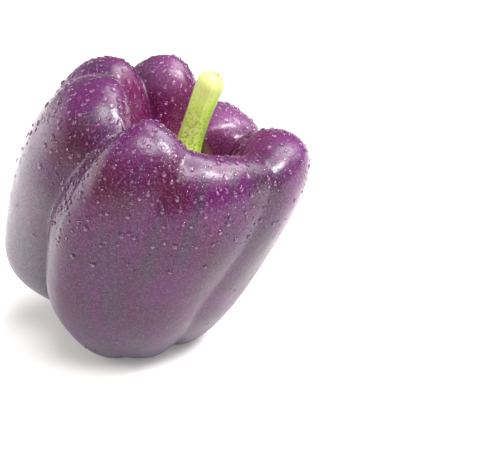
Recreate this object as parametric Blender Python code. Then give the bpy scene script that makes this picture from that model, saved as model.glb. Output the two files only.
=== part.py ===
"""A blocky purple bell pepper standing on its feet, leaning a little to the right, stalk up.

Two pieces: the fruit, one closed skin with a deep stem well and a small blossom dimple, and the
stem, a stalk with a rounded end grown in one with the calyx that lies on the floor of the well.
Metres, +Z up, the left and right of the viewer on -X and +X, the viewer on the -Y side.
"""

import bpy
import numpy as np

# Driving sizes, in metres.
BODY_HEIGHT = 0.085          # feet to the mean top of the shoulders
BODY_RADIUS = 0.045          # mean reach of a lobe at the belly
FOOT_RADIUS = 0.021          # mean distance of a foot from the middle
DIMPLE_DEPTH = 0.007         # rise of the blossom end above the feet
WELL_DEPTH = 0.021           # floor of the stem well below the top of the shoulders
WELL_RADIUS = 0.020          # mean radius of the stem well half way down
WELL_OFFSET = 0.006          # how far the well sits to the right of the middle of the body
STALK_RADIUS = 0.0039        # at the slimmest part of the stalk
STALK_HEIGHT = 0.0355        # middle of the well floor to the tip
CALYX_RADIUS = 0.0125        # middle of the stalk to the tip of a calyx point
CALYX_THICKNESS = 0.0016
FIT_GAP = 0.0005             # clearance between the calyx and the floor of the well
FOOT_PRESS = 0.0009          # depth by which the feet are flattened where they stand

# The body bends towards the right and the viewer, in degrees between the feet and the top.
BEND_RIGHT = 17.0
BEND_FRONT = 6.0

# Fineness of the two grids.
FRUIT_COLUMNS = 84
FRUIT_ROWS = 43
STEM_COLUMNS = 42

# Stations of the skin from the middle of the well, over the shoulder, down to the blossom end.
# Each has its radius and height, then the share of each lobe value that it takes:
# crown height, crown reach, wall reach, belly reach, hip reach, foot reach, foot lift,
# then the share of a crease depth that it takes: crown, side, foot,
# and last the share of the well offset.
TOP = BODY_HEIGHT
FLOOR = BODY_HEIGHT - WELL_DEPTH
WELL = WELL_RADIUS
BELLY = BODY_RADIUS
FOOT = FOOT_RADIUS
STATIONS = (
    ("well centre", 0.0, FLOOR, 0, 0, 0, 0, 0, 0, 0, 0, 0, 0, 1.45),
    ("well floor", 0.45 * WELL, FLOOR - 0.0005, 0, 0, 0.2, 0, 0, 0, 0, 0.06, 0, 0, 1.45),
    ("well wall", 0.8 * WELL, FLOOR + 0.003, 0.15, 0, 0.7, 0, 0, 0, 0, 0.35, 0, 0, 1.35),
    ("well side", WELL, FLOOR + 0.012, 0.55, 0.2, 1, 0, 0, 0, 0, 0.65, 0, 0, 1.15),
    ("inner shoulder", 1.25 * WELL, TOP - 0.002, 0.95, 0.6, 0.8, 0.1, 0, 0, 0, 0.9, 0, 0, 1),
    ("crown", 0.71 * BELLY, TOP, 1, 1, 0.2, 0.4, 0, 0, 0, 1, 0, 0, 0.9),
    ("outer shoulder", 0.89 * BELLY, 0.93 * TOP, 0.8, 0.7, 0, 0.8, 0, 0, 0, 0.85, 0, 0, 0.6),
    ("upper side", 0.99 * BELLY, 0.775 * TOP, 0.4, 0.2, 0, 1, 0.1, 0, 0, 0.4, 0.5, 0, 0.3),
    ("belly", BELLY, 0.6 * TOP, 0.15, 0, 0, 1, 0.4, 0, 0, 0.05, 0.95, 0, 0.1),
    ("lower side", 0.955 * BELLY, 0.41 * TOP, 0, 0, 0, 0.7, 0.8, 0.1, 0.2, 0, 1, 0.1, 0),
    ("hip", 0.865 * BELLY, 0.225 * TOP, 0, 0, 0, 0.2, 1, 0.4, 0.6, 0, 0.4, 0.5, 0),
    ("heel", FOOT + 0.010, 0.006, 0, 0, 0, 0, 0.4, 0.9, 1, 0, 0, 1, 0),
    ("foot", FOOT, 0.0, 0, 0, 0, 0, 0, 1, 1, 0, 0, 1, 0),
    ("inner foot", 0.43 * FOOT, 0.57 * DIMPLE_DEPTH, 0, 0, 0, 0, 0, 0.5, 0.5, 0, 0, 0.45, 0),
    ("blossom end", 0.0, DIMPLE_DEPTH, 0, 0, 0, 0, 0, 0, 0, 0, 0, 0, 0),
)

# Lobes, anticlockwise from above. Bearing in degrees at the crown and at the foot, then the
# lobe's own departures, in metres: crown height, crown reach, wall reach, belly reach,
# hip reach, foot reach, foot lift.
LOBES = (
    ("front right", 292, 278, 0.002, 0, 0, 0, -0.001, -0.002, 0.0006),
    ("right", 348, 330, 0.0035, 0.003, -0.003, 0.0015, -0.003, -0.004, 0),
    ("back right", 48, 40, -0.007, -0.005, -0.009, -0.002, -0.003, -0.001, 0),
    ("back", 102, 100, 0.0005, 0, 0, 0, 0, 0, 0),
    ("back left", 142, 142, 0, 0, 0, 0.001, 0, 0, 0),
    ("left", 197, 188, 0.005, -0.003, -0.0025, -0.0025, 0.005, 0, 0.008),
    ("front left", 247, 243, 0.0065, -0.001, -0.001, 0.001, -0.0005, -0.0015, 0),
)

# The crease that follows each lobe: bearing in degrees at the crown and at the foot, then its
# depth in metres at the crown, down the side and at the foot.
CREASES = (
    (322, 300, 0.003, 0.0018, 0.0020),
    (26, 15, 0.0094, 0.0022, 0.0052),
    (76, 70, 0.0077, 0.0022, 0.0058),
    (123, 120, 0.0077, 0.0022, 0.0058),
    (160, 160, 0.006, 0.0018, 0.0046),
    (233, 211, 0.0080, 0.0080, 0.0095),
    (273, 262, 0.002, 0.0004, 0.0007),
)
CREASE_SHARPNESS = 2.2
CREASE_SOFTNESS = 0.05

# Broad unevenness of the skin.
SWELL = 0.0004

# The stalk: the shares of its height at which it has a ring, then the shape of its outline, whose
# shares are of the height (where a form starts, over how much it runs) or of the radius.
STALK_SHARES = (0.0, 0.04, 0.11, 0.25, 0.5, 0.72, 0.86, 0.91, 0.95, 0.975, 0.99, 0.998)
STALK_FLARE = 0.6
STALK_FLARE_RUN = 0.08
STALK_SWELL = 0.09
STALK_SWELL_START = 0.5
STALK_SWELL_RUN = 0.36
STALK_DOME_START = 0.86
STALK_DOME_POWER = 2.4
STALK_DRIFT = 0.0014         # its drift to the right between its foot and its tip
STALK_RIDGES = 5
STALK_RIDGE_SHARE = 0.035
CALYX_POINTS = 6
CALYX_RIM_SHARE = 0.84       # notch between two calyx points as a share of the calyx radius


def clear_scene():
    """Empty the scene of every object."""
    for item in list(bpy.data.objects):
        bpy.data.objects.remove(item)


def lobe_coordinate(bearing, lobe_marks, crease_marks):
    """Piecewise straight run of the bearing: whole numbers on lobes, halves on creases."""
    count = len(lobe_marks)
    marks = np.stack([lobe_marks, crease_marks], 1).ravel()
    marks = np.degrees(np.unwrap(np.radians(marks)))
    marks = np.concatenate([marks - 360, marks, marks + 360])
    values = np.arange(-2 * count, 4 * count) / 2
    return np.interp((bearing - marks[0]) % 360 + marks[0] + 360, marks, values)


def smooth_blend(coordinate, values):
    """Each lobe's own value at its middle, eased into the next lobe's across the crease."""
    count = len(values)
    lower = np.floor(coordinate).astype(int)
    share = coordinate - lower
    share = share * share * (3 - 2 * share)
    return values[lower % count] * (1 - share) + values[(lower + 1) % count] * share


def spline_weights(where, count, mirror):
    """Weights and slope weights of a cubic spline through count even stations.

    mirror is 1 for a value that carries on evenly past both ends, -1 for one that changes sign.
    """
    index = np.arange(count)
    last = count - 1
    fold = np.abs(last - np.abs(last - np.arange(-1, count + 1)[:, None]))
    sign = np.ones(count + 2)
    sign[[0, -1]] = mirror
    spread = (fold == index) * sign[:, None]
    fit = spread[:-2] / 6 + spread[1:-1] * 4 / 6 + spread[2:] / 6
    if mirror < 0:
        fit[0] = index == 0
        fit[last] = index == last
    step = np.clip(np.floor(where * last).astype(int), 0, last - 1)
    t = (where * last - step)[:, None]
    curve = ((1 - t) ** 3 / 6, (3 * t**3 - 6 * t**2 + 4) / 6,
             (-3 * t**3 + 3 * t**2 + 3 * t + 1) / 6, t**3 / 6)
    slope = (-(1 - t) ** 2 / 2, (9 * t**2 - 12 * t) / 6, (-9 * t**2 + 6 * t + 3) / 6, t**2 / 2)
    weights = sum(part * spread[step + k] for k, part in enumerate(curve))
    slopes = sum(part * spread[step + k] for k, part in enumerate(slope))
    inverse = np.linalg.inv(fit)
    return weights @ inverse, slopes @ inverse


def fruit_skin(bearing, where, lift=0.0):
    """Points of the skin before the bend, raised by lift along its outward direction.

    bearing runs round the fruit in radians; where runs from 0 at the well's middle to 1 at the
    blossom end. Each of the three may be a whole grid.
    """
    bearing, where, lift = np.broadcast_arrays(bearing, where, lift)
    shape = bearing.shape
    bearing = bearing.ravel()
    where = where.ravel()
    lift = lift.ravel()
    table = np.array([row[1:] for row in STATIONS], float)
    lobes = np.array([row[1:] for row in LOBES], float)
    creases = np.array(CREASES, float)
    degrees = np.degrees(bearing)
    at_crown = lobe_coordinate(degrees, lobes[:, 0], creases[:, 0])
    at_foot = lobe_coordinate(degrees, lobes[:, 1], creases[:, 1])
    at_foot = at_foot + np.round((at_crown - at_foot) / len(LOBES)) * len(LOBES)
    turn = np.clip(2.6 * where - 0.92, 0, 1)
    turn = turn * turn * (3 - 2 * turn)
    coordinate = at_crown * (1 - turn) + at_foot * turn
    upper = np.stack([smooth_blend(at_crown, lobes[:, k]) for k in (2, 3, 4)], 1)
    lower = np.stack([smooth_blend(at_foot, lobes[:, k]) for k in (5, 6, 7, 8)], 1)
    crown_height, crown_reach, wall_reach = upper.T
    belly_reach, hip_reach, foot_reach, foot_lift = lower.T
    reach = np.stack([crown_reach, wall_reach, belly_reach, hip_reach, foot_reach], 1)
    height = np.stack([crown_height, foot_lift], 1)
    odd, odd_slope = spline_weights(where, len(STATIONS), -1)
    even, even_slope = spline_weights(where, len(STATIONS), 1)
    radii = table[:, 0] + reach @ table[:, 3:8].T
    heights = table[:, 1] + height @ table[:, [2, 8]].T
    radius = (odd * radii).sum(1)
    level = (even * heights).sum(1)
    out = np.stack([-(even_slope * heights).sum(1), (odd_slope * radii).sum(1)], 1)
    out = out / np.maximum(np.linalg.norm(out, axis=1), 1e-9)[:, None]
    crease = np.floor(coordinate).astype(int) % len(LOBES)
    hollow = 2 * np.abs(coordinate - np.floor(coordinate) - 0.5)
    hollow = (np.hypot(hollow, CREASE_SOFTNESS) - CREASE_SOFTNESS)
    hollow = hollow / (np.hypot(1, CREASE_SOFTNESS) - CREASE_SOFTNESS)
    hollow = (1 - hollow) ** CREASE_SHARPNESS
    depth = hollow * (creases[crease, 2:5] * (even @ table[:, 9:12])).sum(1)
    swell = SWELL * np.sin(np.pi * where) ** 2
    swell = swell * (np.sin(3 * bearing + 9 * where) + np.sin(5 * bearing - 13 * where + 2))
    moved = lift + swell - depth
    radius = radius + out[:, 0] * moved
    level = level + out[:, 1] * moved
    x = radius * np.cos(bearing) + WELL_OFFSET * (even @ table[:, 12])
    return np.stack([x, radius * np.sin(bearing), level], 1).reshape(*shape, 3)


def bend(points):
    """Bend upright points towards the right and the viewer, more and more with their height."""
    angle = np.hypot(np.radians(BEND_RIGHT), np.radians(BEND_FRONT))
    way = np.array([np.radians(BEND_RIGHT), -np.radians(BEND_FRONT)]) / angle
    along = points[..., 0] * way[0] + points[..., 1] * way[1]
    across = points[..., 1] * way[0] - points[..., 0] * way[1]
    turned = angle * points[..., 2] / BODY_HEIGHT
    curve = BODY_HEIGHT / angle
    forward = curve * (1 - np.cos(turned)) + along * np.cos(turned)
    up = curve * np.sin(turned) - along * np.sin(turned)
    return np.stack([forward * way[0] - across * way[1], forward * way[1] + across * way[0], up], -1)


def closed_mesh(name, grid, colour, roughness):
    """One closed object from a grid whose first and last rows are single points."""
    rows, columns = grid.shape[:2]
    ring = np.arange(columns)
    after = (ring + 1) % columns
    points = np.concatenate([grid[0, :1], grid[1:-1].reshape(-1, 3), grid[-1, :1]])
    start = 1 + columns * np.arange(rows - 3)[:, None]
    sides = np.stack([start + ring, start + columns + ring, start + columns + after, start + after], -1)
    last_ring = 1 + columns * (rows - 3)
    first = np.stack([0 * ring, 1 + ring, 1 + after], 1)
    final = np.stack([0 * ring + len(points) - 1, last_ring + after, last_ring + ring], 1)
    faces = sides.reshape(-1, 4).tolist() + first.tolist() + final.tolist()
    mesh = bpy.data.meshes.new(name)
    mesh.from_pydata(points.tolist(), [], faces)
    mesh.polygons.foreach_set("use_smooth", np.ones(len(faces), bool))
    mesh.update()
    material = bpy.data.materials.new(name)
    material.use_nodes = True
    shader = material.node_tree.nodes["Principled BSDF"]
    shader.inputs["Base Color"].default_value = (*colour, 1.0)
    shader.inputs["Roughness"].default_value = roughness
    shader.inputs["Metallic"].default_value = 0.0
    mesh.materials.append(material)
    body = bpy.data.objects.new(name, mesh)
    bpy.context.scene.collection.objects.link(body)


def calyx_reach(bearing):
    """Position on the skin's run where the calyx ends: a point, then a notch, all round."""
    tip = CALYX_RADIUS / (WELL_RADIUS * 0.45) / (len(STATIONS) - 1)
    wave = 0.5 + 0.5 * np.cos(CALYX_POINTS * bearing)
    return tip * (CALYX_RIM_SHARE + (1 - CALYX_RIM_SHARE) * wave)


def stalk_width(share):
    """Width of the stalk along its length, over its radius: flared foot, slight swell, round end."""
    flare = STALK_FLARE * np.exp(-share / STALK_FLARE_RUN)
    rise = np.clip((share - STALK_SWELL_START) / STALK_SWELL_RUN, 0, 1)
    swell = STALK_SWELL * rise * rise * (3 - 2 * rise)
    dome = np.clip((share - STALK_DOME_START) / (1 - STALK_DOME_START), 0, 1)
    return (1 + flare + swell) * (1 - dome**STALK_DOME_POWER) ** (1 / STALK_DOME_POWER)


def stem_grid():
    """Rows of the stem, made from the underside of the calyx up to the tip, given from the top."""
    bearing = np.arange(STEM_COLUMNS) * 2 * np.pi / STEM_COLUMNS
    rim = calyx_reach(bearing)
    under = fruit_skin(bearing, np.linspace(0, 1, 6)[:, None] * rim, FIT_GAP)
    edge = fruit_skin(bearing, rim * 1.015, FIT_GAP + 0.4 * CALYX_THICKNESS)[None]
    back = np.linspace(0.98, 0.62, 4)[:, None]
    over = fruit_skin(bearing, back * rim, FIT_GAP + CALYX_THICKNESS * (1.3 - 0.5 * back))
    share = np.array(STALK_SHARES)
    base = FLOOR + FIT_GAP + CALYX_THICKNESS
    level = base + (STALK_HEIGHT - FIT_GAP - CALYX_THICKNESS) * share
    ridge = 1 + STALK_RIDGE_SHARE * np.cos(STALK_RIDGES * bearing) * (1 - share[:, None] ** 6)
    radius = STALK_RADIUS * stalk_width(share)[:, None] * ridge
    middle = WELL_OFFSET * STATIONS[0][-1] + STALK_DRIFT * share[:, None]
    x = middle + radius * np.cos(bearing)
    stalk = np.stack([x, radius * np.sin(bearing), level[:, None] + 0 * radius], -1)
    tip = stalk[-1].mean(0) + (0, 0, (STALK_HEIGHT - FIT_GAP - CALYX_THICKNESS) * (1 - share[-1]))
    tip = np.broadcast_to(tip, (1, STEM_COLUMNS, 3))
    return np.concatenate([under, edge, over, stalk, tip])[::-1]


def build():
    """Grow both pieces upright, bend them together and stand them on the table."""
    clear_scene()
    bearing = np.arange(FRUIT_COLUMNS) * 2 * np.pi / FRUIT_COLUMNS
    fruit = bend(fruit_skin(bearing, np.linspace(0, 1, FRUIT_ROWS)[:, None]))
    stem = bend(stem_grid())
    low = fruit.min((0, 1))
    high = fruit.max((0, 1))
    ground = (low[0] / 2 + high[0] / 2, low[1] / 2 + high[1] / 2, low[2] + FOOT_PRESS)
    fruit = fruit - ground
    fruit[..., 2] = np.maximum(fruit[..., 2], 0)
    closed_mesh("fruit", fruit, (0.20, 0.05, 0.16), 0.25)
    closed_mesh("stem", stem - ground, (0.55, 0.72, 0.20), 0.55)


build()
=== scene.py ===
"""A purple bell pepper with its cut green stalk, wet with fine drops, on a white table.

The fruit and the stem are the same surfaces as the CAD nodes, on far finer grids. Both follow one
formula: a skin that runs from the middle of the stem well, over the lobed shoulders, down to the
blossom end. The drops of water are laid on that skin. Metres, +Z up, the viewer on the -Y side.
"""

import bpy
import numpy as np
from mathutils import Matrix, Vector


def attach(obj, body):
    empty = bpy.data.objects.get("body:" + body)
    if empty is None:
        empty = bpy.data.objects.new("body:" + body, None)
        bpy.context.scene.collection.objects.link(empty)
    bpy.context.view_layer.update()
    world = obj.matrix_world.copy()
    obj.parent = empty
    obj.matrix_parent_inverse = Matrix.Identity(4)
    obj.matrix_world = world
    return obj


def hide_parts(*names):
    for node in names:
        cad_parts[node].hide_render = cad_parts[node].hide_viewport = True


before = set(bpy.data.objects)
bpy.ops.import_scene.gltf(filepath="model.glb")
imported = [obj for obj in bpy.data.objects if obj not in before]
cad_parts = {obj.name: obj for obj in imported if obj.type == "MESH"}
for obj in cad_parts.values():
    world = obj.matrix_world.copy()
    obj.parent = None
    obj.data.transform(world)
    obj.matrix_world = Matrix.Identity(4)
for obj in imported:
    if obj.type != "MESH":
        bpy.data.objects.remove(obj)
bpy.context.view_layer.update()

# ---------------------------------------------------------------- sizes, as in the CAD model

BODY_HEIGHT = 0.085          # feet to the mean top of the shoulders
BODY_RADIUS = 0.045          # mean reach of a lobe at the belly
FOOT_RADIUS = 0.021          # mean distance of a foot from the middle
DIMPLE_DEPTH = 0.007         # rise of the blossom end above the feet
WELL_DEPTH = 0.021           # floor of the stem well below the top of the shoulders
WELL_RADIUS = 0.020          # mean radius of the stem well half way down
WELL_FLOOR_SHARE = 0.45      # radius of the well's floor over the well's radius
WELL_OFFSET = 0.006          # how far the well sits to the right of the middle of the body
STALK_RADIUS = 0.0039        # at the slimmest part of the stalk
STALK_HEIGHT = 0.0355        # middle of the well floor to the tip
CALYX_RADIUS = 0.0125        # middle of the stalk to the tip of a calyx point
CALYX_THICKNESS = 0.0016
FIT_GAP = 0.0005             # clearance between the calyx and the floor of the well
FOOT_PRESS = 0.0009          # depth by which the feet are flattened where they stand
BEND_RIGHT = 17.0            # lean of the body between its feet and its top, in degrees
BEND_FRONT = 6.0

TOP = BODY_HEIGHT
FLOOR = BODY_HEIGHT - WELL_DEPTH
WELL = WELL_RADIUS
BELLY = BODY_RADIUS
FOOT = FOOT_RADIUS

# Stations of the skin: radius and height, then the share of each lobe value that it takes
# (crown height, crown reach, wall reach, belly reach, hip reach, foot reach, foot lift), the
# share of a crease's depth (crown, side, foot) and the share of the well's offset.
STATIONS = (
    ("well centre", 0.0, FLOOR, 0, 0, 0, 0, 0, 0, 0, 0, 0, 0, 1.45),
    ("well floor", WELL_FLOOR_SHARE * WELL, FLOOR - 0.0005, 0, 0, 0.2, 0, 0, 0, 0, 0.06, 0, 0, 1.45),
    ("well wall", 0.8 * WELL, FLOOR + 0.003, 0.15, 0, 0.7, 0, 0, 0, 0, 0.35, 0, 0, 1.35),
    ("well side", WELL, FLOOR + 0.012, 0.55, 0.2, 1, 0, 0, 0, 0, 0.65, 0, 0, 1.15),
    ("inner shoulder", 1.25 * WELL, TOP - 0.002, 0.95, 0.6, 0.8, 0.1, 0, 0, 0, 0.9, 0, 0, 1),
    ("crown", 0.71 * BELLY, TOP, 1, 1, 0.2, 0.4, 0, 0, 0, 1, 0, 0, 0.9),
    ("outer shoulder", 0.89 * BELLY, 0.93 * TOP, 0.8, 0.7, 0, 0.8, 0, 0, 0, 0.85, 0, 0, 0.6),
    ("upper side", 0.99 * BELLY, 0.775 * TOP, 0.4, 0.2, 0, 1, 0.1, 0, 0, 0.4, 0.5, 0, 0.3),
    ("belly", BELLY, 0.6 * TOP, 0.15, 0, 0, 1, 0.4, 0, 0, 0.05, 0.95, 0, 0.1),
    ("lower side", 0.955 * BELLY, 0.41 * TOP, 0, 0, 0, 0.7, 0.8, 0.1, 0.2, 0, 1, 0.1, 0),
    ("hip", 0.865 * BELLY, 0.225 * TOP, 0, 0, 0, 0.2, 1, 0.4, 0.6, 0, 0.4, 0.5, 0),
    ("heel", FOOT + 0.010, 0.006, 0, 0, 0, 0, 0.4, 0.9, 1, 0, 0, 1, 0),
    ("foot", FOOT, 0.0, 0, 0, 0, 0, 0, 1, 1, 0, 0, 1, 0),
    ("inner foot", 0.43 * FOOT, 0.57 * DIMPLE_DEPTH, 0, 0, 0, 0, 0, 0.5, 0.5, 0, 0, 0.45, 0),
    ("blossom end", 0.0, DIMPLE_DEPTH, 0, 0, 0, 0, 0, 0, 0, 0, 0, 0, 0),
)

# Lobes, anticlockwise from above: bearing in degrees at the crown and at the foot, then the
# lobe's departures in metres (crown height, crown reach, wall reach, belly, hip, foot, foot lift).
LOBES = (
    ("front right", 292, 278, 0.002, 0, 0, 0, -0.001, -0.002, 0.0006),
    ("right", 348, 330, 0.0035, 0.003, -0.003, 0.0015, -0.003, -0.004, 0),
    ("back right", 48, 40, -0.007, -0.005, -0.009, -0.002, -0.003, -0.001, 0),
    ("back", 102, 100, 0.0005, 0, 0, 0, 0, 0, 0),
    ("back left", 142, 142, 0, 0, 0, 0.001, 0, 0, 0),
    ("left", 197, 188, 0.005, -0.003, -0.0025, -0.0025, 0.005, 0, 0.008),
    ("front left", 247, 243, 0.0065, -0.001, -0.001, 0.001, -0.0005, -0.0015, 0),
)

# The crease after each lobe: bearing at the crown and the foot, then its depth at the crown,
# down the side and at the foot.
CREASES = (
    (322, 300, 0.003, 0.0018, 0.0020),
    (26, 15, 0.0094, 0.0022, 0.0052),
    (76, 70, 0.0077, 0.0022, 0.0058),
    (123, 120, 0.0077, 0.0022, 0.0058),
    (160, 160, 0.006, 0.0018, 0.0046),
    (233, 211, 0.0080, 0.0080, 0.0095),
    (273, 262, 0.002, 0.0004, 0.0007),
)
CREASE_SHARPNESS = 2.2       # power of the valley's sides
CREASE_SOFTNESS = 0.05       # rounding of its bottom
CREASE_DEEPEST = 0.009       # a crease this deep is masked in full

# The bearings go over from the crown's to the foot's as this rate times the run, less the delay.
TWIST_RATE = 2.6
TWIST_DELAY = 0.92

# Broad unevenness of the skin: its height, and the turns round and along, and the start, of
# each of its waves.
SWELL = 0.0004
SWELL_WAVES = ((3, 9, 0), (5, -13, 2))

# The stalk's outline: the shares of its height where a form starts or over which it runs, and
# the shares of its radius.
STALK_FLARE = 0.6
STALK_FLARE_RUN = 0.08
STALK_SWELL = 0.09
STALK_SWELL_START = 0.5
STALK_SWELL_RUN = 0.36
STALK_DOME_START = 0.86
STALK_DOME_POWER = 2.4
STALK_DRIFT = 0.0014         # its drift to the right between its foot and its tip
STALK_RIDGES = 5
STALK_RIDGE_SHARE = 0.035
STALK_RIDGE_FADE = 6         # power of the height by which the ridges fade towards the tip
CALYX_POINTS = 6
CALYX_RIM_SHARE = 0.84       # notch between two calyx points as a share of the calyx radius
CALYX_EDGE_SHARE = 0.8       # thickness at the rim over the calyx thickness
CALYX_RISE_SHARE = 0.5       # what it would gain from the rim to the middle

# ---------------------------------------------------------------- the skin's formula


def lobe_coordinate(bearing, lobe_marks, crease_marks):
    """Piecewise straight run of the bearing: whole numbers on lobes, halves on creases."""
    count = len(lobe_marks)
    marks = np.stack([lobe_marks, crease_marks], 1).ravel()
    marks = np.degrees(np.unwrap(np.radians(marks)))
    marks = np.concatenate([marks - 360, marks, marks + 360])
    values = np.arange(-2 * count, 4 * count) / 2
    return np.interp((bearing - marks[0]) % 360 + marks[0] + 360, marks, values)


def smooth_blend(coordinate, values):
    """Each lobe's own value at its middle, eased into the next lobe's across the crease."""
    count = len(values)
    lower = np.floor(coordinate).astype(int)
    share = coordinate - lower
    share = share * share * (3 - 2 * share)
    return values[lower % count] * (1 - share) + values[(lower + 1) % count] * share


def spline_weights(where, count, mirror):
    """Weights and slope weights of a cubic spline through count even stations.

    mirror is 1 for a value that carries on evenly past both ends, -1 for one that changes sign.
    """
    index = np.arange(count)
    last = count - 1
    fold = np.abs(last - np.abs(last - np.arange(-1, count + 1)[:, None]))
    sign = np.ones(count + 2)
    sign[[0, -1]] = mirror
    spread = (fold == index) * sign[:, None]
    fit = spread[:-2] / 6 + spread[1:-1] * 4 / 6 + spread[2:] / 6
    if mirror < 0:
        fit[0] = index == 0
        fit[last] = index == last
    step = np.clip(np.floor(where * last).astype(int), 0, last - 1)
    t = (where * last - step)[:, None]
    curve = ((1 - t) ** 3 / 6, (3 * t**3 - 6 * t**2 + 4) / 6,
             (-3 * t**3 + 3 * t**2 + 3 * t + 1) / 6, t**3 / 6)
    slope = (-(1 - t) ** 2 / 2, (9 * t**2 - 12 * t) / 6, (-9 * t**2 + 6 * t + 3) / 6, t**2 / 2)
    weights = sum(part * spread[step + k] for k, part in enumerate(curve))
    slopes = sum(part * spread[step + k] for k, part in enumerate(slope))
    inverse = np.linalg.inv(fit)
    return weights @ inverse, slopes @ inverse


def fruit_skin(bearing, where, lift=0.0, with_hollow=False):
    """Points of the skin before the bend, raised by lift along its outward direction.

    Radius and height each run on a cubic spline through the stations, whose values carry the
    lobes' departures eased round the fruit; every crease sinks the skin along its outward
    direction by its depth times a rounded valley; two slow sine waves make it uneven.
    bearing runs round the fruit in radians, where from 0 at the well's middle to 1 at the
    blossom end. with_hollow also gives how deep in a crease each point lies, about 0 to 1.
    """
    bearing, where, lift = np.broadcast_arrays(bearing, where, lift)
    shape = bearing.shape
    bearing = bearing.ravel()
    where = where.ravel()
    lift = lift.ravel()
    table = np.array([row[1:] for row in STATIONS], float)
    lobes = np.array([row[1:] for row in LOBES], float)
    creases = np.array(CREASES, float)
    degrees = np.degrees(bearing)
    at_crown = lobe_coordinate(degrees, lobes[:, 0], creases[:, 0])
    at_foot = lobe_coordinate(degrees, lobes[:, 1], creases[:, 1])
    at_foot = at_foot + np.round((at_crown - at_foot) / len(LOBES)) * len(LOBES)
    turn = np.clip(TWIST_RATE * where - TWIST_DELAY, 0, 1)
    turn = turn * turn * (3 - 2 * turn)
    coordinate = at_crown * (1 - turn) + at_foot * turn
    upper = np.stack([smooth_blend(at_crown, lobes[:, k]) for k in (2, 3, 4)], 1)
    lower = np.stack([smooth_blend(at_foot, lobes[:, k]) for k in (5, 6, 7, 8)], 1)
    crown_height, crown_reach, wall_reach = upper.T
    belly_reach, hip_reach, foot_reach, foot_lift = lower.T
    reach = np.stack([crown_reach, wall_reach, belly_reach, hip_reach, foot_reach], 1)
    height = np.stack([crown_height, foot_lift], 1)
    odd, odd_slope = spline_weights(where, len(STATIONS), -1)
    even, even_slope = spline_weights(where, len(STATIONS), 1)
    radii = table[:, 0] + reach @ table[:, 3:8].T
    heights = table[:, 1] + height @ table[:, [2, 8]].T
    radius = (odd * radii).sum(1)
    level = (even * heights).sum(1)
    out = np.stack([-(even_slope * heights).sum(1), (odd_slope * radii).sum(1)], 1)
    out = out / np.maximum(np.linalg.norm(out, axis=1), 1e-9)[:, None]
    crease = np.floor(coordinate).astype(int) % len(LOBES)
    hollow = 2 * np.abs(coordinate - np.floor(coordinate) - 0.5)
    hollow = np.hypot(hollow, CREASE_SOFTNESS) - CREASE_SOFTNESS
    hollow = hollow / (np.hypot(1, CREASE_SOFTNESS) - CREASE_SOFTNESS)
    hollow = (1 - hollow) ** CREASE_SHARPNESS
    depth = hollow * (creases[crease, 2:5] * (even @ table[:, 9:12])).sum(1)
    waves = sum(np.sin(turns * bearing + along * where + start) for turns, along, start in SWELL_WAVES)
    swell = SWELL * np.sin(np.pi * where) ** 2 * waves
    moved = lift + swell - depth
    radius = radius + out[:, 0] * moved
    level = level + out[:, 1] * moved
    x = radius * np.cos(bearing) + WELL_OFFSET * (even @ table[:, 12])
    points = np.stack([x, radius * np.sin(bearing), level], 1).reshape(*shape, 3)
    if with_hollow:
        return points, (depth / CREASE_DEEPEST).reshape(shape)
    return points


def bend(points):
    """Bend upright points towards the right and the viewer, more and more with their height."""
    angle = np.hypot(np.radians(BEND_RIGHT), np.radians(BEND_FRONT))
    way = np.array([np.radians(BEND_RIGHT), -np.radians(BEND_FRONT)]) / angle
    along = points[..., 0] * way[0] + points[..., 1] * way[1]
    across = points[..., 1] * way[0] - points[..., 0] * way[1]
    turned = angle * points[..., 2] / BODY_HEIGHT
    curve = BODY_HEIGHT / angle
    forward = curve * (1 - np.cos(turned)) + along * np.cos(turned)
    up = curve * np.sin(turned) - along * np.sin(turned)
    return np.stack([forward * way[0] - across * way[1], forward * way[1] + across * way[0], up], -1)


def unit(vectors):
    """Vectors scaled to length 1."""
    return vectors / np.maximum(np.linalg.norm(vectors, axis=-1, keepdims=True), 1e-12)


# ---------------------------------------------------------------- meshes


def closed_faces(rows, columns):
    """Faces of a closed grid whose first and last rows are single points, facing outwards."""
    ring = np.arange(columns)
    after = (ring + 1) % columns
    start = 1 + columns * np.arange(rows - 3)[:, None]
    sides = np.stack([start + ring, start + columns + ring, start + columns + after, start + after], -1)
    last_ring = 1 + columns * (rows - 3)
    end = last_ring + columns
    first = np.stack([0 * ring, 1 + ring, 1 + after], 1)
    final = np.stack([0 * ring + end, last_ring + after, last_ring + ring], 1)
    return sides.reshape(-1, 4), np.concatenate([first, final])


def closed_points(grid):
    """The grid's values as one list, with a single point for its first and its last row."""
    rest = grid.shape[2:]
    return np.concatenate([grid[0, :1], grid[1:-1].reshape(-1, *rest), grid[-1, :1]])


def mesh_piece(name, points, quads, triangles, material):
    """One smooth object at the origin from arrays of points and faces."""
    sizes = np.concatenate([np.full(len(quads), 4), np.full(len(triangles), 3)])
    corners = np.concatenate([quads.ravel(), triangles.ravel()]).astype(np.int32)
    mesh = bpy.data.meshes.new(name)
    mesh.vertices.add(len(points))
    mesh.vertices.foreach_set("co", points.astype(np.float32).ravel())
    mesh.loops.add(len(corners))
    mesh.loops.foreach_set("vertex_index", corners)
    mesh.polygons.add(len(sizes))
    starts = np.concatenate([[0], np.cumsum(sizes)[:-1]]).astype(np.int32)
    mesh.polygons.foreach_set("loop_start", starts)
    mesh.polygons.foreach_set("use_smooth", np.ones(len(sizes), bool))
    mesh.update(calc_edges=True)
    mesh.validate()
    mesh.materials.append(material)
    piece = bpy.data.objects.new(name, mesh)
    bpy.context.scene.collection.objects.link(piece)
    return piece


def set_mask(piece, name, values):
    """A number at each point of the piece, which its material reads by that name."""
    layer = piece.data.attributes.new(name, "FLOAT", "POINT")
    layer.data.foreach_set("value", values.astype(np.float32).ravel())


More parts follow.
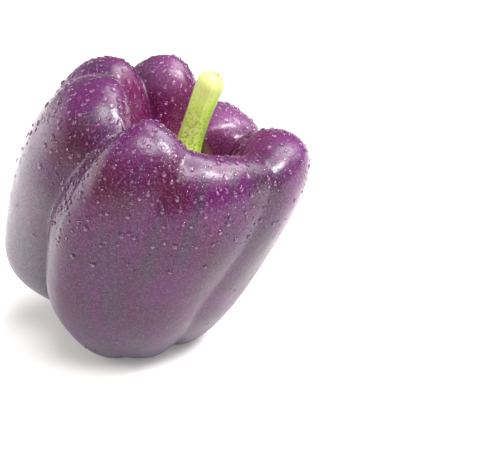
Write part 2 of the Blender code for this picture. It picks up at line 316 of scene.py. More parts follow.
def set_track(piece, name, values):
    """A direction or place at each point of the piece, which its material reads by that name."""
    layer = piece.data.attributes.new(name, "FLOAT_VECTOR", "POINT")
    layer.data.foreach_set("vector", values.astype(np.float32).ravel())


# ---------------------------------------------------------------- shader helpers


def add_node(tree, kind, inputs=None, **settings):
    """A node with its settings, and its inputs set to a value or linked to a socket."""
    node = tree.nodes.new(kind)
    for key, value in settings.items():
        setattr(node, key, value)
    for key, value in (inputs or {}).items():
        if isinstance(value, bpy.types.NodeSocket):
            tree.links.new(value, node.inputs[key])
        else:
            node.inputs[key].default_value = value
    return node


def maths(tree, operation, first, second=0.0):
    """The result of one sum on two numbers or sockets."""
    return add_node(tree, "ShaderNodeMath", {0: first, 1: second}, operation=operation).outputs[0]


def ramp(tree, value, start, end, low=0.0, high=1.0):
    """value eased from low at start to high at end."""
    inputs = {"Value": value, "From Min": start, "From Max": end, "To Min": low, "To Max": high}
    return add_node(tree, "ShaderNodeMapRange", inputs, interpolation_type="SMOOTHSTEP").outputs[0]


def opaque(paint):
    """A socket as it is, or a colour's three numbers with full cover added."""
    return paint if isinstance(paint, bpy.types.NodeSocket) else (*paint, 1.0)


def blend_colour(tree, mask, first, second):
    """first where the mask is 0, second where it is 1."""
    # The mix node's two colours are its inputs 6 and 7, and their blend is its output 2.
    inputs = {0: mask, 6: opaque(first), 7: opaque(second)}
    return add_node(tree, "ShaderNodeMix", inputs, data_type="RGBA").outputs[2]


def tint(tree, colour, mask, share, paint):
    """The colour with paint laid over it by a share of the mask."""
    return blend_colour(tree, maths(tree, "MULTIPLY", mask, share), colour, paint)


def mask_of(tree, name):
    """The number that set_mask left at each point."""
    return add_node(tree, "ShaderNodeAttribute", attribute_name=name).outputs["Fac"]


def track_of(tree, name):
    """The direction or place that set_track left at each point."""
    return add_node(tree, "ShaderNodeAttribute", attribute_name=name).outputs["Vector"]


def place_of(tree):
    """The place of each point in the piece's own metres."""
    return add_node(tree, "ShaderNodeTexCoord").outputs["Object"]


def along_way(tree, direction, way):
    """How far a direction lies along a fixed way."""
    inputs = {0: direction, 1: way}
    return add_node(tree, "ShaderNodeVectorMath", inputs, operation="DOT_PRODUCT").outputs["Value"]


def near(tree, place, centre, inner, outer):
    """1 within inner metres of a centre, easing to 0 at outer metres."""
    inputs = {0: place, 1: centre}
    distance = add_node(tree, "ShaderNodeVectorMath", inputs, operation="DISTANCE").outputs["Value"]
    return ramp(tree, distance, inner, outer, 1.0, 0.0)


def new_group(name, inputs, outputs):
    """An empty node group with named inputs (kind and start value) and named outputs (kind)."""
    tree = bpy.data.node_groups.new(name, "ShaderNodeTree")
    for label, kind, value in inputs:
        socket = tree.interface.new_socket(label, in_out="INPUT", socket_type="NodeSocket" + kind)
        if value is not None:
            socket.default_value = value
    for label, kind in outputs:
        tree.interface.new_socket(label, in_out="OUTPUT", socket_type="NodeSocket" + kind)
    return tree, tree.nodes.new("NodeGroupInput").outputs, tree.nodes.new("NodeGroupOutput").inputs


def mottle_group():
    """Soft blotches: noise eased between two levels."""
    inputs = (("Place", "Vector", None), ("Scale", "Float", 60.0), ("Detail", "Float", 3.0),
              ("Low", "Float", 0.4), ("High", "Float", 0.65))
    tree, given, result = new_group("mottle", inputs, (("Mask", "Float"),))
    noise = add_node(tree, "ShaderNodeTexNoise", {"Vector": given["Place"], "Scale": given["Scale"],
                                                  "Detail": given["Detail"], "Roughness": 0.55})
    mask = ramp(tree, noise.outputs["Fac"], given["Low"], given["High"])
    tree.links.new(mask, result["Mask"])
    return tree


def relief_group():
    """Height of a plant skin: a slow unevenness with a finer one on top."""
    inputs = (("Place", "Vector", None), ("Coarse", "Float", 150.0), ("Fine", "Float", 900.0),
              ("Fine Share", "Float", 0.3))
    tree, given, result = new_group("relief", inputs, (("Height", "Float"),))
    slow = add_node(tree, "ShaderNodeTexNoise", {"Vector": given["Place"], "Scale": given["Coarse"],
                                                 "Detail": 2.0})
    fine = add_node(tree, "ShaderNodeTexNoise", {"Vector": given["Place"], "Scale": given["Fine"],
                                                 "Detail": 2.0})
    share = maths(tree, "MULTIPLY", fine.outputs["Fac"], given["Fine Share"])
    tree.links.new(maths(tree, "ADD", slow.outputs["Fac"], share), result["Height"])
    return tree


MOTTLE = mottle_group()
RELIEF = relief_group()


def placed(tree, group, inputs):
    """A node group placed in a material with its own values; gives its first output."""
    return add_node(tree, "ShaderNodeGroup", inputs, node_tree=group).outputs[0]


def add_relief(tree, shader, relief, strength, distance):
    """Bump the shader's surface by the relief group with its own values."""
    height = placed(tree, RELIEF, relief)
    bump = add_node(tree, "ShaderNodeBump", {"Height": height, "Strength": strength, "Distance": distance})
    tree.links.new(bump.outputs[0], shader.inputs["Normal"])


def new_material(name):
    """A material with its node tree and its Principled shader."""
    material = bpy.data.materials.new(name)
    material.use_nodes = True
    tree = material.node_tree
    return material, tree, tree.nodes["Principled BSDF"]


# ---------------------------------------------------------------- materials


def skin_material():
    """Waxy purple skin: magenta shoulders, duller violet sides, dark red-purple in the well."""
    material, tree, shader = new_material("pepper_skin")
    place = place_of(tree)
    run = mask_of(tree, "run")
    hollow = mask_of(tree, "hollow")
    growth = track_of(tree, "growth")

    # The place moved about by a few millimetres, so that no colour ends in a clean line.
    warp = add_node(tree, "ShaderNodeTexNoise", {"Vector": place, "Scale": 40.0, "Detail": 1.0})
    shift = add_node(tree, "ShaderNodeVectorMath", {0: warp.outputs["Color"], 1: (0.5, 0.5, 0.5)},
                     operation="SUBTRACT").outputs[0]
    shift = add_node(tree, "ShaderNodeVectorMath", {0: shift, "Scale": 0.012},
                     operation="SCALE").outputs[0]
    loose = add_node(tree, "ShaderNodeVectorMath", {0: place, 1: shift}, operation="ADD").outputs[0]
    sides = add_node(tree, "ShaderNodeSeparateXYZ", {0: loose}).outputs
    across = sides["X"]
    level = sides["Z"]

    shoulder = (0.082, 0.003, 0.065)
    side = (0.056, 0.007, 0.043)
    low = (0.050, 0.027, 0.066)
    well = (0.110, 0.004, 0.056)
    maroon = (0.058, 0.001, 0.014)
    ash = (0.036, 0.014, 0.030)
    bloom_and_sheen = (0.235, 0.210, 0.245)
    lilac = (0.135, 0.020, 0.118)
    slate = (0.036, 0.024, 0.044)
    violet = (0.085, 0.004, 0.085)
    painted_highlight_rose = (0.210, 0.060, 0.180)
    painted_crease_shade = (0.030, 0.006, 0.024)
    speck_and_glint = (0.165, 0.074, 0.170)
    pore = (0.012, 0.002, 0.012)

    # From the shoulders down to the feet, then the lilac right side.
    colour = blend_colour(tree, ramp(tree, level, 0.044, 0.070), side, shoulder)
    colour = blend_colour(tree, ramp(tree, level, 0.034, 0.004), colour, low)
    colour = tint(tree, colour, ramp(tree, across, 0.032, 0.044), 0.8, lilac)

    # Streaks down the skin, blotches, and a cool patch low on the front.
    streak = placed(tree, MOTTLE, {"Place": growth, "Scale": 9.0, "Low": 0.42, "High": 0.66})
    colour = tint(tree, colour, streak, 0.66, slate)
    blotch = placed(tree, MOTTLE, {"Place": place, "Scale": 75.0, "Low": 0.46, "High": 0.66})
    colour = tint(tree, colour, blotch, 0.60, violet)
    colour = tint(tree, colour, near(tree, loose, (0.030, -0.031, 0.045), 0.004, 0.020), 0.5, slate)

    # Dark red-purple under the front shoulder and a greyish corner at its right.
    dark = near(tree, loose, (-0.009, -0.040, 0.073), 0.003, 0.014)
    dark = maths(tree, "MAXIMUM", dark, near(tree, loose, (0.007, -0.042, 0.073), 0.001, 0.012))
    dark = maths(tree, "MAXIMUM", dark, near(tree, loose, (-0.022, -0.026, 0.077), 0.003, 0.012))
    colour = tint(tree, colour, dark, 0.85, maroon)
    colour = tint(tree, colour, near(tree, loose, (0.036, -0.028, 0.067), 0.002, 0.013), 0.8, ash)

    # Pale wax on the left flank, partly a painted reflection; the well; rosy patches on the shoulders at
    # the back, which are painted highlights; and painted shade in the creases.
    # Partly real pale wax, partly a painted reflection of the bright room along the left flank.
    colour = tint(tree, colour, ramp(tree, across, -0.026, -0.038), 0.9, bloom_and_sheen)
    colour = blend_colour(tree, ramp(tree, run, 0.36, 0.24), colour, well)
    # Painted highlights: lighter rosy patches on the back shoulders where a broad highlight falls.
    painted_highlight = maths(tree, "MAXIMUM", near(tree, loose, (0.027, 0.014, 0.072), 0.004, 0.017),
                 near(tree, loose, (0.004, 0.021, 0.085), 0.003, 0.010))
    colour = tint(tree, colour, painted_highlight, 0.65, painted_highlight_rose)
    # Painted shade: the skin darkens with the depth of each crease.
    colour = tint(tree, colour, hollow, 0.5, painted_crease_shade)

    # A fine grain of pale specks, partly painted glints of fine water, with darker skin between them.
    grain = placed(tree, MOTTLE, {"Place": place, "Scale": 1700.0, "Detail": 1.0,
                                  "Low": 0.45, "High": 0.70})
    colour = tint(tree, colour, grain, 0.26, speck_and_glint)
    colour = blend_colour(tree, ramp(tree, grain, 0.40, 0.0, 0.0, 0.32), colour, pore)
    tree.links.new(colour, shader.inputs["Base Color"])

    # The shoulders are glossier than the lower skin.
    gloss = placed(tree, MOTTLE, {"Place": place, "Scale": 110.0, "Low": 0.3, "High": 0.7})
    dull = ramp(tree, level, 0.065, 0.030, 0.17, 0.30)
    rough = maths(tree, "ADD", dull, maths(tree, "MULTIPLY", gloss, 0.08))
    tree.links.new(rough, shader.inputs["Roughness"])
    relief = {"Place": place, "Coarse": 160.0, "Fine": 1800.0, "Fine Share": 0.36}
    add_relief(tree, shader, relief, 0.40, 0.0004)
    shader.inputs["IOR"].default_value = 1.43
    return material


def stem_material():
    """Green stalk and calyx, striped, streaked and flecked, paler and yellower towards the tip; paler
    towards the viewer as painted light and olive at the edges seen from the viewer as painted shade.
    """
    material, tree, shader = new_material("pepper_stem")
    place = place_of(tree)
    run = mask_of(tree, "run")
    growth = track_of(tree, "growth")
    green = (0.48, 0.80, 0.035)
    pale = (0.86, 1.0, 0.27)
    bright = (0.64, 0.94, 0.05)
    painted_edge_shade = (0.26, 0.36, 0.03)
    straw = (0.76, 0.92, 0.33)
    dark = (0.16, 0.30, 0.015)
    cream = (0.52, 0.52, 0.19)
    bark = (0.15, 0.10, 0.03)

    # A pale band down the front and the back, with a wandering edge, partly painted light on the side
    # facing the viewer, and olive flanks as seen from the viewer, which are painted shade.
    facing = along_way(tree, growth, (-0.35, -0.94, 0.0))
    wander = placed(tree, MOTTLE, {"Place": growth, "Scale": 2.0, "Low": 0.3, "High": 0.7})
    stripe_and_light = ramp(tree, maths(tree, "ADD", facing, maths(tree, "MULTIPLY", wander, 0.25)), 0.35, 1.0)
    stripe_and_light = maths(tree, "MAXIMUM", stripe_and_light, ramp(tree, facing, -0.45, -0.9, 0.0, 0.8))
    colour = blend_colour(tree, stripe_and_light, green, pale)
    cloud = placed(tree, MOTTLE, {"Place": place, "Scale": 420.0, "Low": 0.42, "High": 0.62})
    colour = tint(tree, colour, cloud, 0.60, bright)
    flank = maths(tree, "ABSOLUTE", along_way(tree, growth, (0.94, -0.35, 0.0)))
    colour = blend_colour(tree, ramp(tree, flank, 0.84, 1.0, 0.0, 0.5), colour, painted_edge_shade)

    # Straw-coloured fibres and dark flecks, which thin out towards the tip.
    fibre = placed(tree, MOTTLE, {"Place": growth, "Scale": 6.0, "Low": 0.45, "High": 0.62})
    colour = tint(tree, colour, fibre, 0.45, straw)
    fleck = placed(tree, MOTTLE, {"Place": place, "Scale": 1100.0, "Low": 0.50, "High": 0.62})
    fleck = maths(tree, "MULTIPLY", fleck, ramp(tree, run, 0.90, 0.10, 0.15, 0.70))
    colour = blend_colour(tree, fleck, colour, dark)

    # The cream tip with a brown scar.
    colour = blend_colour(tree, ramp(tree, run, 0.66, 0.95, 0.0, 0.85), colour, cream)
    scar = near(tree, place, (0.0217, -0.0034, 0.0925), 0.0009, 0.0022)
    crumble = placed(tree, MOTTLE, {"Place": place, "Scale": 900.0, "Low": 0.3})
    colour = blend_colour(tree, maths(tree, "MULTIPLY", scar, crumble), colour, bark)
    tree.links.new(colour, shader.inputs["Base Color"])

    relief = {"Place": growth, "Coarse": 9.0, "Fine": 40.0, "Fine Share": 0.4}
    add_relief(tree, shader, relief, 0.6, 0.0005)
    tree.links.new(ramp(tree, fibre, 0.0, 1.0, 0.42, 0.55), shader.inputs["Roughness"])
    return material


def water_material():
    """Water tinted darker as painted shade, most at a drop's rim, with a painted glow on its lower side in
    place of light through the drop.
    """
    material, tree, shader = new_material("water")
    shaded_water = (0.86, 0.78, 0.86)
    painted_rim_shade = (0.12, 0.08, 0.12)
    unlit = (0.0, 0.0, 0.0)
    painted_pink_glow = (0.40, 0.19, 0.36)
    rim = mask_of(tree, "rim")
    lit = mask_of(tree, "lit")
    # Painted shade in the water's tint, darkest at the rim, and a painted glow on the lower side.
    body = blend_colour(tree, ramp(tree, rim, 0.30, 0.85), shaded_water, painted_rim_shade)
    tree.links.new(body, shader.inputs["Base Color"])
    tree.links.new(blend_colour(tree, lit, unlit, painted_pink_glow), shader.inputs["Emission Color"])
    shader.inputs["Emission Strength"].default_value = 1.0
    shader.inputs["Roughness"].default_value = 0.0
    shader.inputs["IOR"].default_value = 1.33
    shader.inputs["Transmission Weight"].default_value = 1.0
    return material


def table_material():
    """Smooth white table top with the faintest mottling, and a little light of its own."""
    material, tree, shader = new_material("white_table")
    white = (0.73, 0.712, 0.694)
    whiter = (0.745, 0.727, 0.709)
    blotch = placed(tree, MOTTLE, {"Place": place_of(tree), "Scale": 8.0, "Low": 0.3, "High": 0.7})
    tree.links.new(blend_colour(tree, blotch, white, whiter), shader.inputs["Base Color"])
    shader.inputs["Roughness"].default_value = 0.9
    shader.inputs["Specular IOR Level"].default_value = 0.1
    shader.inputs["Emission Color"].default_value = (1.0, 0.97, 0.95, 1.0)
    shader.inputs["Emission Strength"].default_value = 0.16
    return material


# ---------------------------------------------------------------- the fruit

FRUIT_COLUMNS = 372
FRUIT_ROWS = 253
GROWTH_STRETCH = 0.45        # length of the growth track down the skin: the less, the longer a streak


def bearings(count):
    """count even bearings round a full turn, in radians."""
    return np.arange(count) * 2 * np.pi / count


def settle(points, ground):
    """Points moved so that the table is at height 0, pressed flat where they would pass it."""
    points = points - ground
    points[..., 2] = np.maximum(points[..., 2], 0)
    return points


def make_fruit(material):
    """The fruit's skin on a fine grid, with its run, its creases and its growth as masks."""
    bearing = bearings(FRUIT_COLUMNS)
    where = np.linspace(0, 1, FRUIT_ROWS)[:, None]
    upright, hollow = fruit_skin(bearing, where, with_hollow=True)
    bent = bend(upright)
    low = bent.min((0, 1))
    high = bent.max((0, 1))
    ground = np.array([low[0] / 2 + high[0] / 2, low[1] / 2 + high[1] / 2, low[2] + FOOT_PRESS])
    points = settle(bent, ground)
    piece = mesh_piece("pepper_fruit", closed_points(points), *closed_faces(FRUIT_ROWS, FRUIT_COLUMNS),
                       material)
    run = where + 0 * bearing
    growth = np.stack([np.cos(bearing) + 0 * run, np.sin(bearing) + 0 * run, GROWTH_STRETCH * run], -1)
    set_mask(piece, "run", closed_points(run))
    set_mask(piece, "hollow", closed_points(hollow))
    set_track(piece, "growth", closed_points(growth))
    return piece, ground


# ---------------------------------------------------------------- the stem

STEM_COLUMNS = 180
# Rows of the grid: under the calyx, round its rim, over it, up the stalk's flare, up its middle
# and over its round end.
UNDER_ROWS = 12
RIM_ROWS = 5
OVER_ROWS = 16
FLARE_ROWS = 24
STALK_ROWS = 70
DOME_ROWS = 36
FLARE_END = 0.2              # share of the stalk's height up to which its rows are closest
RIM_BULGE = 0.015            # bulge of the calyx's rim over its reach
RIM_START = 0.1              # where its rows start and end, over its height
RIM_END = 0.9
OVER_START = 0.98            # where the top of the calyx starts and ends, over its reach
OVER_END = 0.62
# Fine ridges of the stalk: depth over its radius, number round, turns from foot to tip.
FINE_RIDGES = ((0.008, 17, 3), (0.006, 29, 0))
STEM_GROWTH = 20.0           # lengths of the growth track per metre of the stem
STEM_GROWTH_REACH = 0.02     # distance from the stalk's middle up to which the track goes on


def calyx_reach(bearing):
    """Position on the skin's run where the calyx ends: a point, then a notch, all round."""
    tip = CALYX_RADIUS / (WELL_RADIUS * WELL_FLOOR_SHARE) / (len(STATIONS) - 1)
    wave = 0.5 + 0.5 * np.cos(CALYX_POINTS * bearing)
    return tip * (CALYX_RIM_SHARE + (1 - CALYX_RIM_SHARE) * wave)


def stalk_width(share):
    """Width of the stalk along its length, over its radius: flared foot, slight swell, round end."""
    flare = STALK_FLARE * np.exp(-share / STALK_FLARE_RUN)
    rise = np.clip((share - STALK_SWELL_START) / STALK_SWELL_RUN, 0, 1)
    swell = STALK_SWELL * rise * rise * (3 - 2 * rise)
    dome = np.clip((share - STALK_DOME_START) / (1 - STALK_DOME_START), 0, 1)
    return (1 + flare + swell) * (1 - dome**STALK_DOME_POWER) ** (1 / STALK_DOME_POWER)


def calyx_rows(bearing):
    """Rows of the calyx: the floor of the well raised by the gap, by a rounded rim and by its top."""
    rim = calyx_reach(bearing)
    under = fruit_skin(bearing, np.linspace(0, 1, UNDER_ROWS)[:, None] * rim, FIT_GAP)
    up = np.linspace(RIM_START, RIM_END, RIM_ROWS)[:, None]
    bulge = rim * (1 + RIM_BULGE * np.sin(np.pi * up))
    edge = fruit_skin(bearing, bulge, FIT_GAP + CALYX_THICKNESS * CALYX_EDGE_SHARE * up)
    back = np.linspace(OVER_START, OVER_END, OVER_ROWS)[:, None]
    thickness = CALYX_THICKNESS * (CALYX_EDGE_SHARE + CALYX_RISE_SHARE - CALYX_RISE_SHARE * back)
    return [under, edge, fruit_skin(bearing, back * rim, FIT_GAP + thickness)]


def stalk_rows(bearing):
    """Rows of the stalk and their shares of its height: a ridged ring carried up a drifting line.

    The ring is a circle with cosine ridges that fade towards the tip, and fine sine ridges.
    """
    dome = 1 - (1 - STALK_DOME_START) * np.linspace(1, 0, DOME_ROWS)[1:] ** 2
    foot = np.linspace(0, FLARE_END, FLARE_ROWS)[:-1]
    share = np.concatenate([foot, np.linspace(FLARE_END, STALK_DOME_START, STALK_ROWS), dome])
    up = share[:, None]
    base = FLOOR + FIT_GAP + CALYX_THICKNESS
    level = base + (STALK_HEIGHT - FIT_GAP - CALYX_THICKNESS) * up
    ridge = 1 + STALK_RIDGE_SHARE * np.cos(STALK_RIDGES * bearing) * (1 - up**STALK_RIDGE_FADE)
    for depth, number, turns in FINE_RIDGES:
        ridge = ridge + depth * np.sin(number * bearing + turns * up)
    radius = STALK_RADIUS * stalk_width(up) * ridge
    x = WELL_OFFSET * STATIONS[0][-1] + STALK_DRIFT * up + radius * np.cos(bearing)
    return np.stack([x, radius * np.sin(bearing), level + 0 * radius], -1), share


def make_stem(material, ground):
    """Calyx and stalk as one skin: under the calyx, round its rim, over it and up the stalk.

    Its masks are its run, the share of the stalk's height, and its growth, the bearing together
    with the way up the stalk and out along the calyx.
    """
    bearing = bearings(STEM_COLUMNS)
    stalk, share = stalk_rows(bearing)
    grid = np.concatenate([*calyx_rows(bearing), stalk])[::-1]
    run = np.concatenate([np.zeros(len(grid) - len(share)), share])[::-1]
    points = bend(grid) - ground
    piece = mesh_piece("pepper_stem", closed_points(points), *closed_faces(len(grid), STEM_COLUMNS),
                       material)
    wide = np.linalg.norm(grid[..., :2] - np.array([WELL_OFFSET * STATIONS[0][-1], 0]), axis=-1)
    along = STEM_GROWTH * grid[..., 2] + STEM_GROWTH * np.minimum(wide, STEM_GROWTH_REACH)
    growth = np.stack([np.cos(bearing) + 0 * wide, np.sin(bearing) + 0 * wide, along], -1)
    set_mask(piece, "run", closed_points(run[:, None] + 0 * wide))
    set_track(piece, "growth", closed_points(growth))
    return piece


# ---------------------------------------------------------------- drops of water

# The kinds of drops: piece, how many at most, least and greatest radius, the power that favours
# small ones, rings and sides of a dome, and the seed of its random draws.
DROP_KINDS = (
    ("water_beads", 1900, (0.00038, 0.00098, 2.0), (4, 12), 5),
    ("water_small", 4600, (0.00018, 0.00036, 1.3), (3, 8), 7),
    ("water_mist", 5600, (0.00010, 0.00018, 1.2), (2, 6), 11),
)
TRIES_PER_DROP = 12
PLACE_ROWS = 160             # rows and columns of the grid on which the places are drawn
PLACE_COLUMNS = 180
PLACE_START = 0.02           # where the places start and end on the skin's run
PLACE_END = 0.98
SLOPE_STEP = 0.001           # step along the run and the bearing that gives the skin's slopes
DROP_SPACING = 1.08          # least distance of two drops over the sum of their radii

# A drop's shape over its radius: greatest stretch down the slope, greatest loss across it, least
# height and what the height may gain; and how deep it sinks into the skin over its height.
DROP_STRETCH = 0.15
DROP_SQUEEZE = 0.10
DROP_HEIGHT = 0.50
DROP_HEIGHT_GAIN = 0.22
DROP_SINK = 0.08

# The painted glow in a drop, in place of light through it: the middle, length and width of the glowing
# spot over the radius, the radius from which a drop glows in full, and the least share of that radius and
# of the glow.
LIT_MIDDLE = 0.35
LIT_LENGTH = 0.38
LIT_WIDTH = 0.5
LIT_RADIUS = 0.0006
LIT_LEAST = 0.3

# Where the skin is wet, in metres, shares of the run, and shares of the drops.
WET_LEVEL = 0.044            # above this the drops grow common
WET_LEVEL_RUN = 0.024
WET_POWER = 1.3
WET_BELOW = 0.02             # share of the drops that stay below that level
WET_SIDEWAYS = 0.7           # share where the skin faces sideways
WET_UPWARDS = 0.6            # what facing upwards adds to it, up to all, and facing downwards takes
WET_DOWNWARDS = 0.1          # the least that is left facing downwards
WET_SHELTER = 0.12           # the well is sheltered up to here on the run, and less up to twice this
WET_IN_WELL = 0.15
DRY_LEFT = 0.88              # loss on the left flank, from this far left on
DRY_LEFT_START = 0.022
DRY_LEFT_RUN = 0.010
DRY_RIGHT = 0.6              # loss on the right flank, from this far right on
DRY_RIGHT_START = 0.038
DRY_RIGHT_RUN = 0.007
DRY_FEET = 0.006             # no drop lies below this height


def climb(values, start, run):
    """0 up to start, then straight up to 1 over run."""
    return np.clip((values - start) / run, 0, 1)


def wetness(place, normal, where):
    """The chance that a drop stays at a place, as a product of shares.

    It is highest on the shoulders and the upper front, and falls off with the height, where the
    skin faces downwards, in the well and on both flanks; the feet are dry.
    """
    height = WET_BELOW + (1 - WET_BELOW) * climb(place[:, 2], WET_LEVEL, WET_LEVEL_RUN) ** WET_POWER
    facing = np.clip(WET_SIDEWAYS + WET_UPWARDS * normal[:, 2], WET_DOWNWARDS, 1)
    outside = np.clip((where - WET_SHELTER) / WET_SHELTER, WET_IN_WELL, 1)
    left = 1 - DRY_LEFT * climb(-place[:, 0], DRY_LEFT_START, DRY_LEFT_RUN)
    right = 1 - DRY_RIGHT * climb(place[:, 0], DRY_RIGHT_START, DRY_RIGHT_RUN)
    return height * facing * outside * left * right * (place[:, 2] > DRY_FEET)


def draw_places(chance, tries):
    """Bearings and runs of places drawn evenly over the skin's area.

    A cell of a coarse grid is drawn by its area, then a place anywhere in that cell.
    """
    bearing = bearings(PLACE_COLUMNS)
    where = np.linspace(PLACE_START, PLACE_END, PLACE_ROWS)
    coarse = bend(fruit_skin(bearing, where[:, None]))
    along = np.linalg.norm(np.gradient(coarse, axis=0), axis=-1)
    around = np.linalg.norm(np.roll(coarse, -1, 1) - coarse, axis=-1)
    area = (along * around).ravel()
    cell = chance.choice(len(area), tries, p=area / area.sum())
    row, column = np.divmod(cell, len(bearing))
    run = where[row] + (chance.random(tries) - 0.5) * (where[1] - where[0])
    turn = bearing[column] + (chance.random(tries) - 0.5) * (bearing[1] - bearing[0])
    return turn, run


def skin_places(bearing, where, ground):
    """Places on the standing fruit, and the skin's outward direction at each of them."""
    middle = bend(fruit_skin(bearing, where))
    down = bend(fruit_skin(bearing, where + SLOPE_STEP)) - middle
    turn = bend(fruit_skin(bearing + SLOPE_STEP, where)) - middle
    return middle - ground, unit(np.cross(down, turn))


def clear_of_bigger(middle, radius):
    """Which drops, sorted from the biggest down, touch none of those before them."""
    place = middle.astype(np.float32)
    gap = np.linalg.norm(place[:, None] - place[None], axis=-1)
    touch = gap < DROP_SPACING * (radius[:, None] + radius[None]).astype(np.float32)
    return ~np.tril(touch, -1).any(1)


def drop_shape(rings, sides):
    """A half ball of water, closed below by a flat disc: radius 1, as points and faces.

    Its rings lie at even tilts from the top down to the rim, and a last point closes the disc.
    """
    tilt = np.linspace(0, np.pi / 2, rings + 1)[1:]
    around = bearings(sides)
    ring = np.stack([np.sin(tilt)[:, None] * np.cos(around), np.sin(tilt)[:, None] * np.sin(around),
                     np.cos(tilt)[:, None] + 0 * around], -1)
    points = np.concatenate([[[0, 0, 1.0]], ring.reshape(-1, 3), [[0, 0, 0.0]]])
    return points, *closed_faces(rings + 2, sides)


def lay_drops(name, most, radii, fineness, seed, material, ground):
    """Drops laid at random on the skin, as one piece.

    Places are drawn evenly over the skin's area and kept by the wetness there, and a drop that
    would touch a bigger one is left out. Each is the half ball with its own length down the slope,
    its own width and its own height, standing on the skin's outward direction. Its masks are how
    near the rim a point lies, where the water's tint darkens it as painted shade, and how strongly
    it glows, a soft painted glow on the lower side in place of light through the drop.
    """
    chance = np.random.default_rng(seed)
    bearing, where = draw_places(chance, TRIES_PER_DROP * most)
    middle, normal = skin_places(bearing, where, ground)
    keep = np.flatnonzero(chance.random(len(where)) < wetness(middle, normal, where))[:most]
    least, greatest, power = radii
    radius = least + (greatest - least) * chance.random(len(keep)) ** power
    order = np.argsort(-radius)
    order = order[clear_of_bigger(middle[keep[order]], radius[order])]
    radius = radius[order]
    middle = middle[keep[order]]
    normal = normal[keep[order]]
    # Straight down along the skin; the tiny share gives level skin a slope too.
    slope = unit(np.array([0, 0, -1.0]) + normal * normal[:, 2:3] + 1e-6)
    number = len(middle)
    length = radius * (1 + DROP_STRETCH * chance.random(number))
    width = radius * (1 - DROP_SQUEEZE * chance.random(number))
    height = radius * (DROP_HEIGHT + DROP_HEIGHT_GAIN * chance.random(number))
    shape, quads, triangles = drop_shape(*fineness)
    low, across, high = shape.T
    points = middle[:, None]
    for way, size, part in ((slope, length, low), (np.cross(normal, slope), width, across),
                            (normal, height, high - DROP_SINK)):
        points = points + (way * size[:, None])[:, None] * part[:, None]
    offset = (np.arange(number) * len(shape))[:, None, None]
    piece = mesh_piece(name, points.reshape(-1, 3), (quads + offset).reshape(-1, 4),
                       (triangles + offset).reshape(-1, 3), material)
    piece.visible_shadow = False
    spot = np.exp(-((low - LIT_MIDDLE) / LIT_LENGTH) ** 2 - (across / LIT_WIDTH) ** 2) * (high > 0)
    share = np.clip(radius / LIT_RADIUS, LIT_LEAST, 1) ** 2
    share = share * (LIT_LEAST + (1 - LIT_LEAST) * chance.random(number))
    set_mask(piece, "rim", np.tile(1 - high, number))
    set_mask(piece, "lit", spot * share[:, None])
    return piece


# ---------------------------------------------------------------- light, table and camera

CAMERA_HEIGHT_ANGLE = 28.0   # degrees by which it looks down
CAMERA_DISTANCE = 0.370
CAMERA_TARGET = Vector((0.031, 0.004, 0.037))
CAMERA_LENS = 80.0           # focal length in millimetres
CAMERA_NEAREST = 0.01
LAMP_PLACE = (0.357, -0.10, 0.475)
LAMP_TARGET = (0, 0, 0.05)
LAMP_WIDTH = 0.14
LAMP_DEPTH = 0.12
LAMP_POWER = 2.3             # watts
TABLE_REACH = 2.5            # middle of the table to its edges
ROOM_LEVEL = 0.38
# Each glow of the room: its direction, the cosines where it starts and is full, and its level.
ROOM_GLOWS = (
    ((-0.97, 0.16, -0.12), 0.60, 0.95, 3.6),
    ((0.30, 0.10, 0.95), 0.40, 0.95, 0.3),
    ((0.47, 0.32, 0.82), 0.91, 0.98, 7.5),
    ((0.70, 0.45, 0.55), 0.90, 0.98, 3.0),
    ((0.63, -0.30, 0.71), 0.92, 0.985, 2.2),
    ((0.24, -0.37, 0.90), 0.952, 0.990, 13.0),
    ((-0.30, -0.55, 0.78), 0.88, 0.98, 1.0),
)


def aim(item, target):
    """Turn a lamp or camera to look at a point."""
    item.rotation_euler = (Vector(target) - item.location).to_track_quat("-Z", "Y").to_euler()


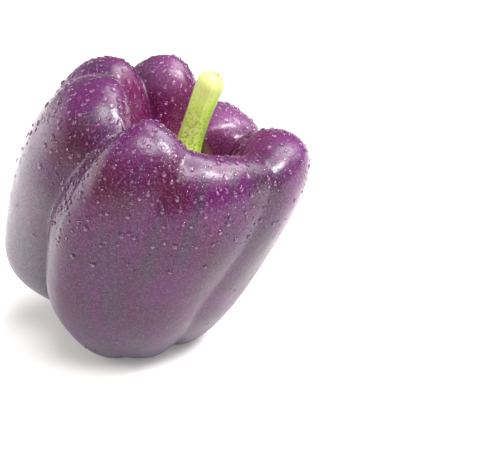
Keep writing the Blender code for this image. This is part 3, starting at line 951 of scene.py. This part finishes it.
def make_camera():
    """The viewer, looking along +Y and a little down."""
    angle = np.radians(CAMERA_HEIGHT_ANGLE)
    camera = bpy.data.objects.new("camera", bpy.data.cameras.new("camera"))
    bpy.context.scene.collection.objects.link(camera)
    away = Vector((0, -np.cos(angle), np.sin(angle)))
    camera.location = CAMERA_TARGET + away * CAMERA_DISTANCE
    camera.data.lens = CAMERA_LENS
    camera.data.clip_start = CAMERA_NEAREST
    aim(camera, CAMERA_TARGET)
    bpy.context.scene.camera = camera


def make_lamp():
    """A soft rectangular lamp, high up at the right, that looks at the pepper."""
    lamp = bpy.data.lights.new("soft_box", "AREA")
    lamp.shape = "RECTANGLE"
    lamp.size = LAMP_WIDTH
    lamp.size_y = LAMP_DEPTH
    lamp.energy = LAMP_POWER
    item = bpy.data.objects.new("soft_box", lamp)
    bpy.context.scene.collection.objects.link(item)
    item.location = LAMP_PLACE
    aim(item, LAMP_TARGET)


def make_world():
    """A white room: a dim level with soft-edged glows, which the camera itself sees as plain white."""
    world = bpy.data.worlds.new("white_room")
    world.use_nodes = True
    tree = world.node_tree
    sky = tree.nodes["Background"]
    sky.inputs["Color"].default_value = (1.0, 1.0, 1.0, 1.0)
    way = add_node(tree, "ShaderNodeTexCoord").outputs["Generated"]
    light = ROOM_LEVEL
    for direction, start, end, level in ROOM_GLOWS:
        glow = ramp(tree, along_way(tree, way, direction), start, end, 0.0, level)
        light = maths(tree, "ADD", glow, light)
    seen = add_node(tree, "ShaderNodeLightPath").outputs["Is Camera Ray"]
    tree.links.new(maths(tree, "MAXIMUM", seen, light), sky.inputs["Strength"])
    bpy.context.scene.world = world


def make_table(material):
    """A wide square white table top at height 0."""
    points = TABLE_REACH * np.array([(-1, -1, 0), (1, -1, 0), (1, 1, 0), (-1, 1, 0)])
    table = mesh_piece("table", points, np.array([[0, 1, 2, 3]]), np.zeros((0, 3), int), material)


def build():
    """Every piece and its body, then the table, the light and the camera."""
    fruit, ground = make_fruit(skin_material())
    stem = make_stem(stem_material(), ground)
    water = water_material()
    drops = [lay_drops(*kind, water, ground) for kind in DROP_KINDS]
    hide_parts("fruit")
    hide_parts("stem")
    finishes = [(fruit, "skin"), (stem, "stem")] + [(piece, "water") for piece in drops]
    for piece, finish in finishes:
        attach(piece, "root")
    make_table(table_material())
    make_world()
    make_lamp()
    make_camera()
    bpy.context.scene.view_settings.view_transform = "Standard"


build()
